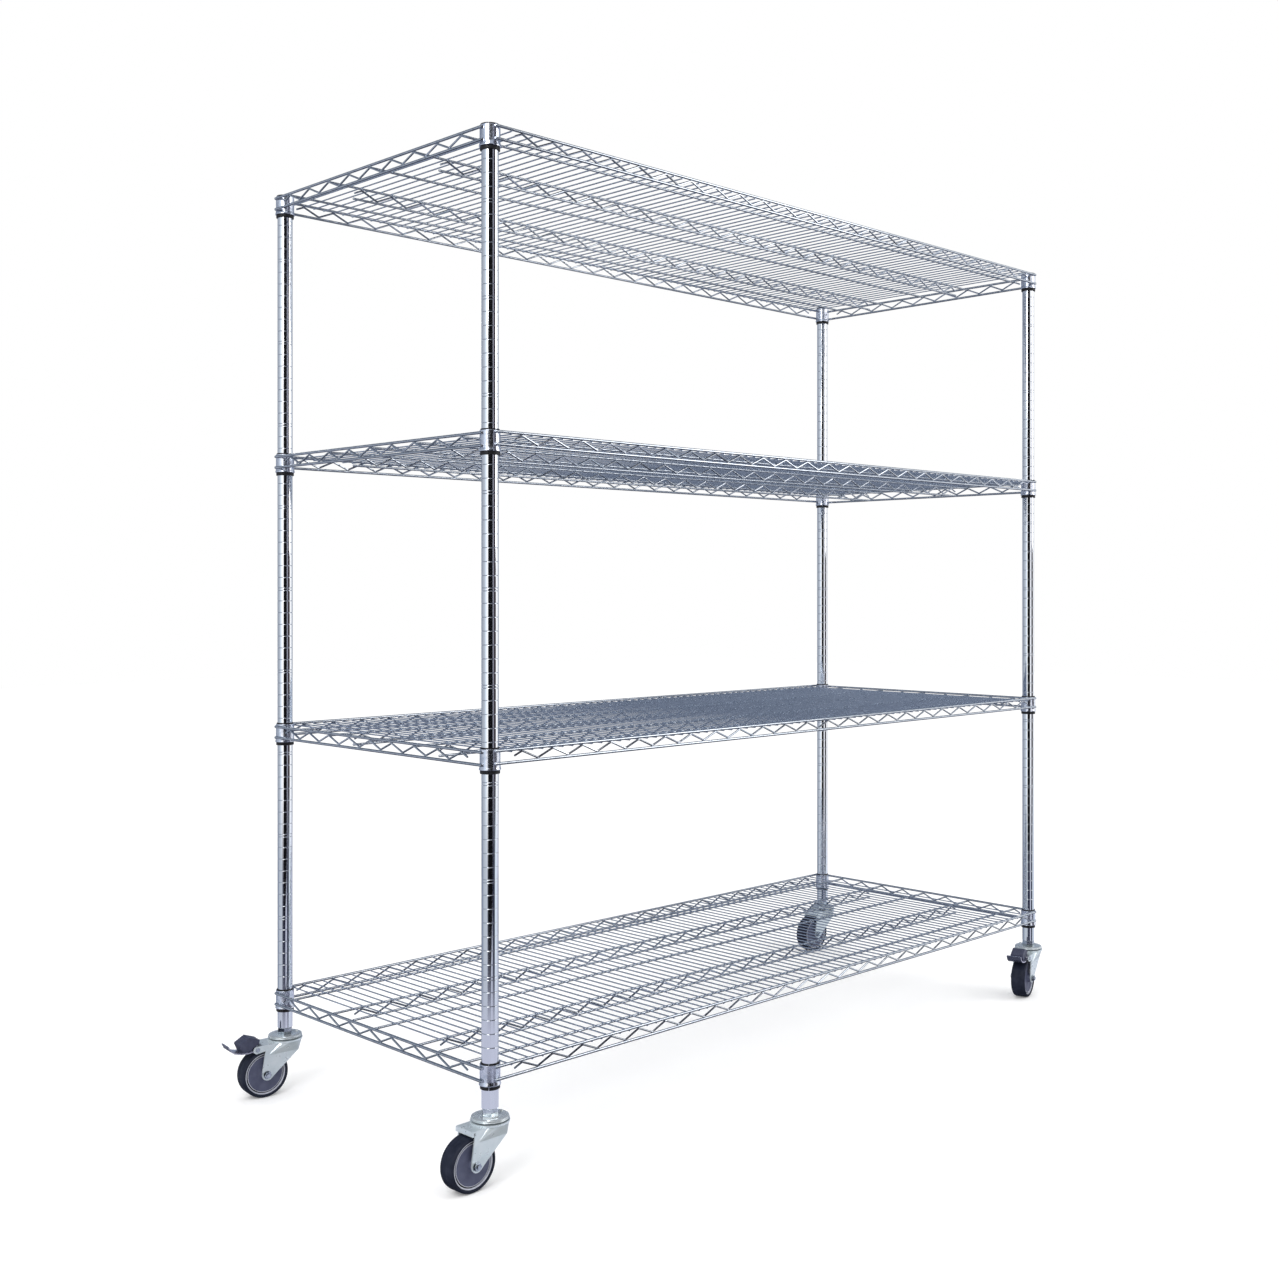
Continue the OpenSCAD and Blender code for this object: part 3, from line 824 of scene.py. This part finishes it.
# Directions' heights over which the level room turns into the low one, and that into the floor
LOW_FADE = (-0.12, -0.18)
FLOOR_FADE = (-0.25, -0.28)


def round_the_room(tree, bearing, stops):
    return colour_ramp(tree, bearing, [((degrees + 180) / 360, c) for degrees, c in stops])


def studio_world():
    """White for the camera and for soft light; mirrors see screens with dark gaps."""
    world = bpy.data.worlds.new("studio")
    bpy.context.scene.world = world
    world.use_nodes = True
    tree = world.node_tree
    tree.nodes.clear()
    new, link = tree.nodes.new, tree.links.new
    place = new("ShaderNodeTexCoord")
    parts = new("ShaderNodeSeparateXYZ")
    link(place.outputs["Generated"], parts.inputs[0])
    turn = new("ShaderNodeMath")
    turn.operation = "ARCTAN2"
    link(parts.outputs["Y"], turn.inputs[0])
    link(parts.outputs["X"], turn.inputs[1])
    bearing = map_range(tree, turn.outputs[0], -math.pi, math.pi)
    height = parts.outputs["Z"]
    low = map_range(tree, height, *LOW_FADE)
    around = mix_colours(tree, "MIX", low, round_the_room(tree, bearing, ROOM),
                         round_the_room(tree, bearing, LOW_ROOM))
    floor_glow = new("ShaderNodeRGB")
    floor_glow.outputs[0].default_value = (*LAVENDER, 1)
    around = mix_colours(tree, "MIX", map_range(tree, height, *FLOOR_FADE), around,
                         floor_glow.outputs[0])
    rise = colour_ramp(tree, map_range(tree, height, -1, 1), RISE)
    screens = new("ShaderNodeBackground")
    screens.inputs["Strength"].default_value = 1.2
    link(mix_colours(tree, "MULTIPLY", 1.0, around, rise), screens.inputs["Color"])
    plain = new("ShaderNodeBackground")
    plain.inputs["Color"].default_value = (1, 1, 1, 1)
    ray = new("ShaderNodeLightPath")
    mix = new("ShaderNodeMixShader")
    link(ray.outputs["Is Glossy Ray"], mix.inputs["Fac"])
    link(plain.outputs[0], mix.inputs[1])
    link(screens.outputs[0], mix.inputs[2])
    out = new("ShaderNodeOutputWorld")
    link(mix.outputs[0], out.inputs["Surface"])


# Metres from the camera, half the width, and the heights of the lower and upper edge
FLAG_BEHIND = 0.3
FLAG_ASIDE = 0.75
FLAG_HALF = 2.05
FLAG_EDGES = (-0.4, 3.4)


def dark_flag():
    """The dark opening of the studio behind the camera, which only mirrors see."""
    outward = CAMERA_FROM_RACK.normalized()
    outward.z = 0
    outward.normalize()
    side = Vector((-outward.y, outward.x, 0))
    middle = camera.location + outward * FLAG_BEHIND + side * FLAG_ASIDE
    corners = [middle + side * (s * FLAG_HALF) for s in SIDES]
    mesh = bpy.data.meshes.new("dark_flag")
    mesh.from_pydata([(c.x, c.y, z) for c in corners for z in FLAG_EDGES], [], [(0, 1, 3, 2)])
    mat = finish_material("flag_cloth", 0, (0.002, 0.002, 0.003), (0.006, 0.006, 0.008),
                          (0.9, 0.95), 2, EVEN, (0.02, 0.05, 300))
    mat.node_tree.nodes["Principled BSDF"].inputs["Specular IOR Level"].default_value = 0
    mesh.materials.append(mat)
    flag = bpy.data.objects.new("dark_flag", mesh)
    bpy.context.collection.objects.link(flag)
    flag.visible_camera = flag.visible_diffuse = flag.visible_shadow = False
    flag.visible_transmission = False


AIM = (0, 0, 0.8)
LAMP_SIZE = (1.6, 2.4)


def softbox(name, place, aim, size, watts):
    data = bpy.data.lights.new(name, "AREA")
    data.shape = "RECTANGLE"
    data.size, data.size_y = size
    data.energy = watts
    lamp = bpy.data.objects.new(name, data)
    bpy.context.collection.objects.link(lamp)
    lamp.location = place
    lamp.rotation_euler = (Vector(aim) - Vector(place)).to_track_quat("-Z", "Y").to_euler()


studio_floor()
studio_world()
dark_flag()
softbox("key", (-3.5, -1.5, 3.2), AIM, LAMP_SIZE, watts=60)
softbox("fill", (2.5, -3.2, 2.4), AIM, LAMP_SIZE, watts=35)
bpy.context.scene.view_settings.view_transform = "Standard"
